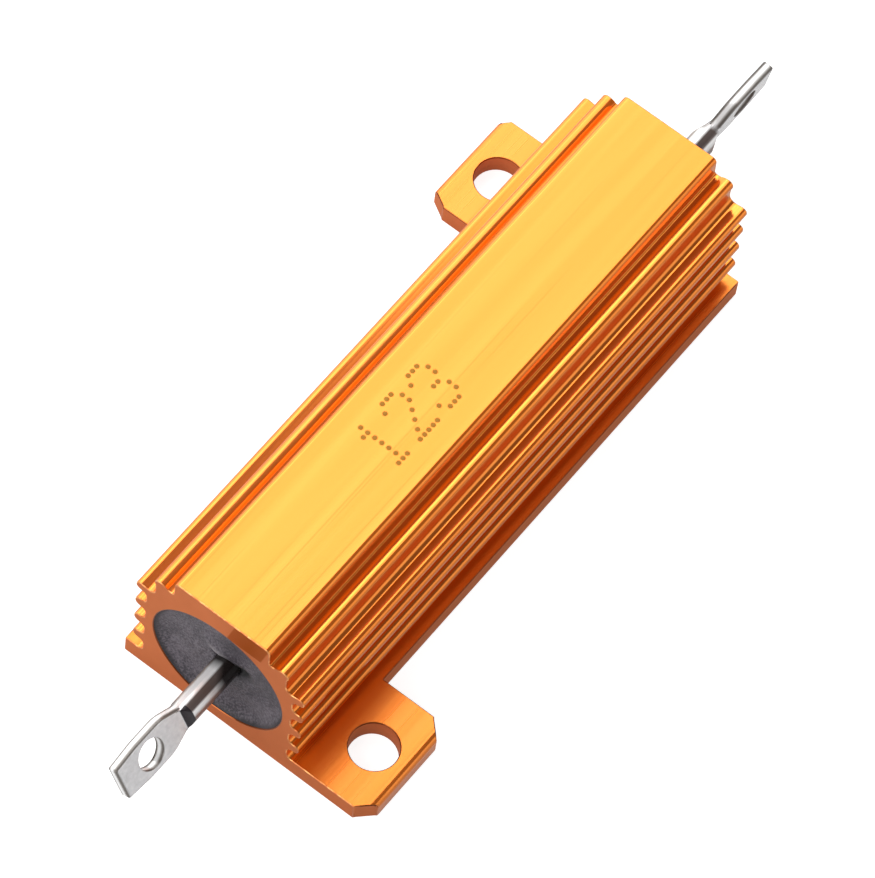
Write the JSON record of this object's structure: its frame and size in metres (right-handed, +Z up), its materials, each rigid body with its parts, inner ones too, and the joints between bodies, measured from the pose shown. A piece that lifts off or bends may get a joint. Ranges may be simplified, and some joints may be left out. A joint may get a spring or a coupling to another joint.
{
  "type": "power resistor",
  "caption": "Wirewound power resistor in a finned gold-anodised aluminium housing with drilled mounting ears at opposite corners and pierced blade terminals at both ends.",
  "frame": {"origin": "middle of the housing's mounting face", "axes": "+X along the housing, from terminal_left to terminal_right; +Z up, out of the mounting face; +Y across, so that the ears lie at (-X, -Y) and (+X, +Y)"},
  "size_m": [0.0731, 0.0268, 0.0147],
  "materials": {
    "anodised_aluminium": "gold-orange anodised, fine extrusion lines",
    "moulding_compound": "matte, finely speckled",
    "ceramic": "matte unglazed ceramic",
    "resistance_alloy": "satin",
    "plated_steel": "satin",
    "tinned_metal": "bright tinned, brushed on the pressed faces"
  },
  "bodies": {
    "root": {"housing": "anodised_aluminium", "moulding_compound": "moulding_compound", "ceramic_core": "ceramic", "resistance_ribbon": "resistance_alloy", "end_cap_left": "plated_steel", "end_cap_right": "plated_steel", "terminal_left": "tinned_metal", "terminal_right": "tinned_metal"}
  },
  "joints": []
}
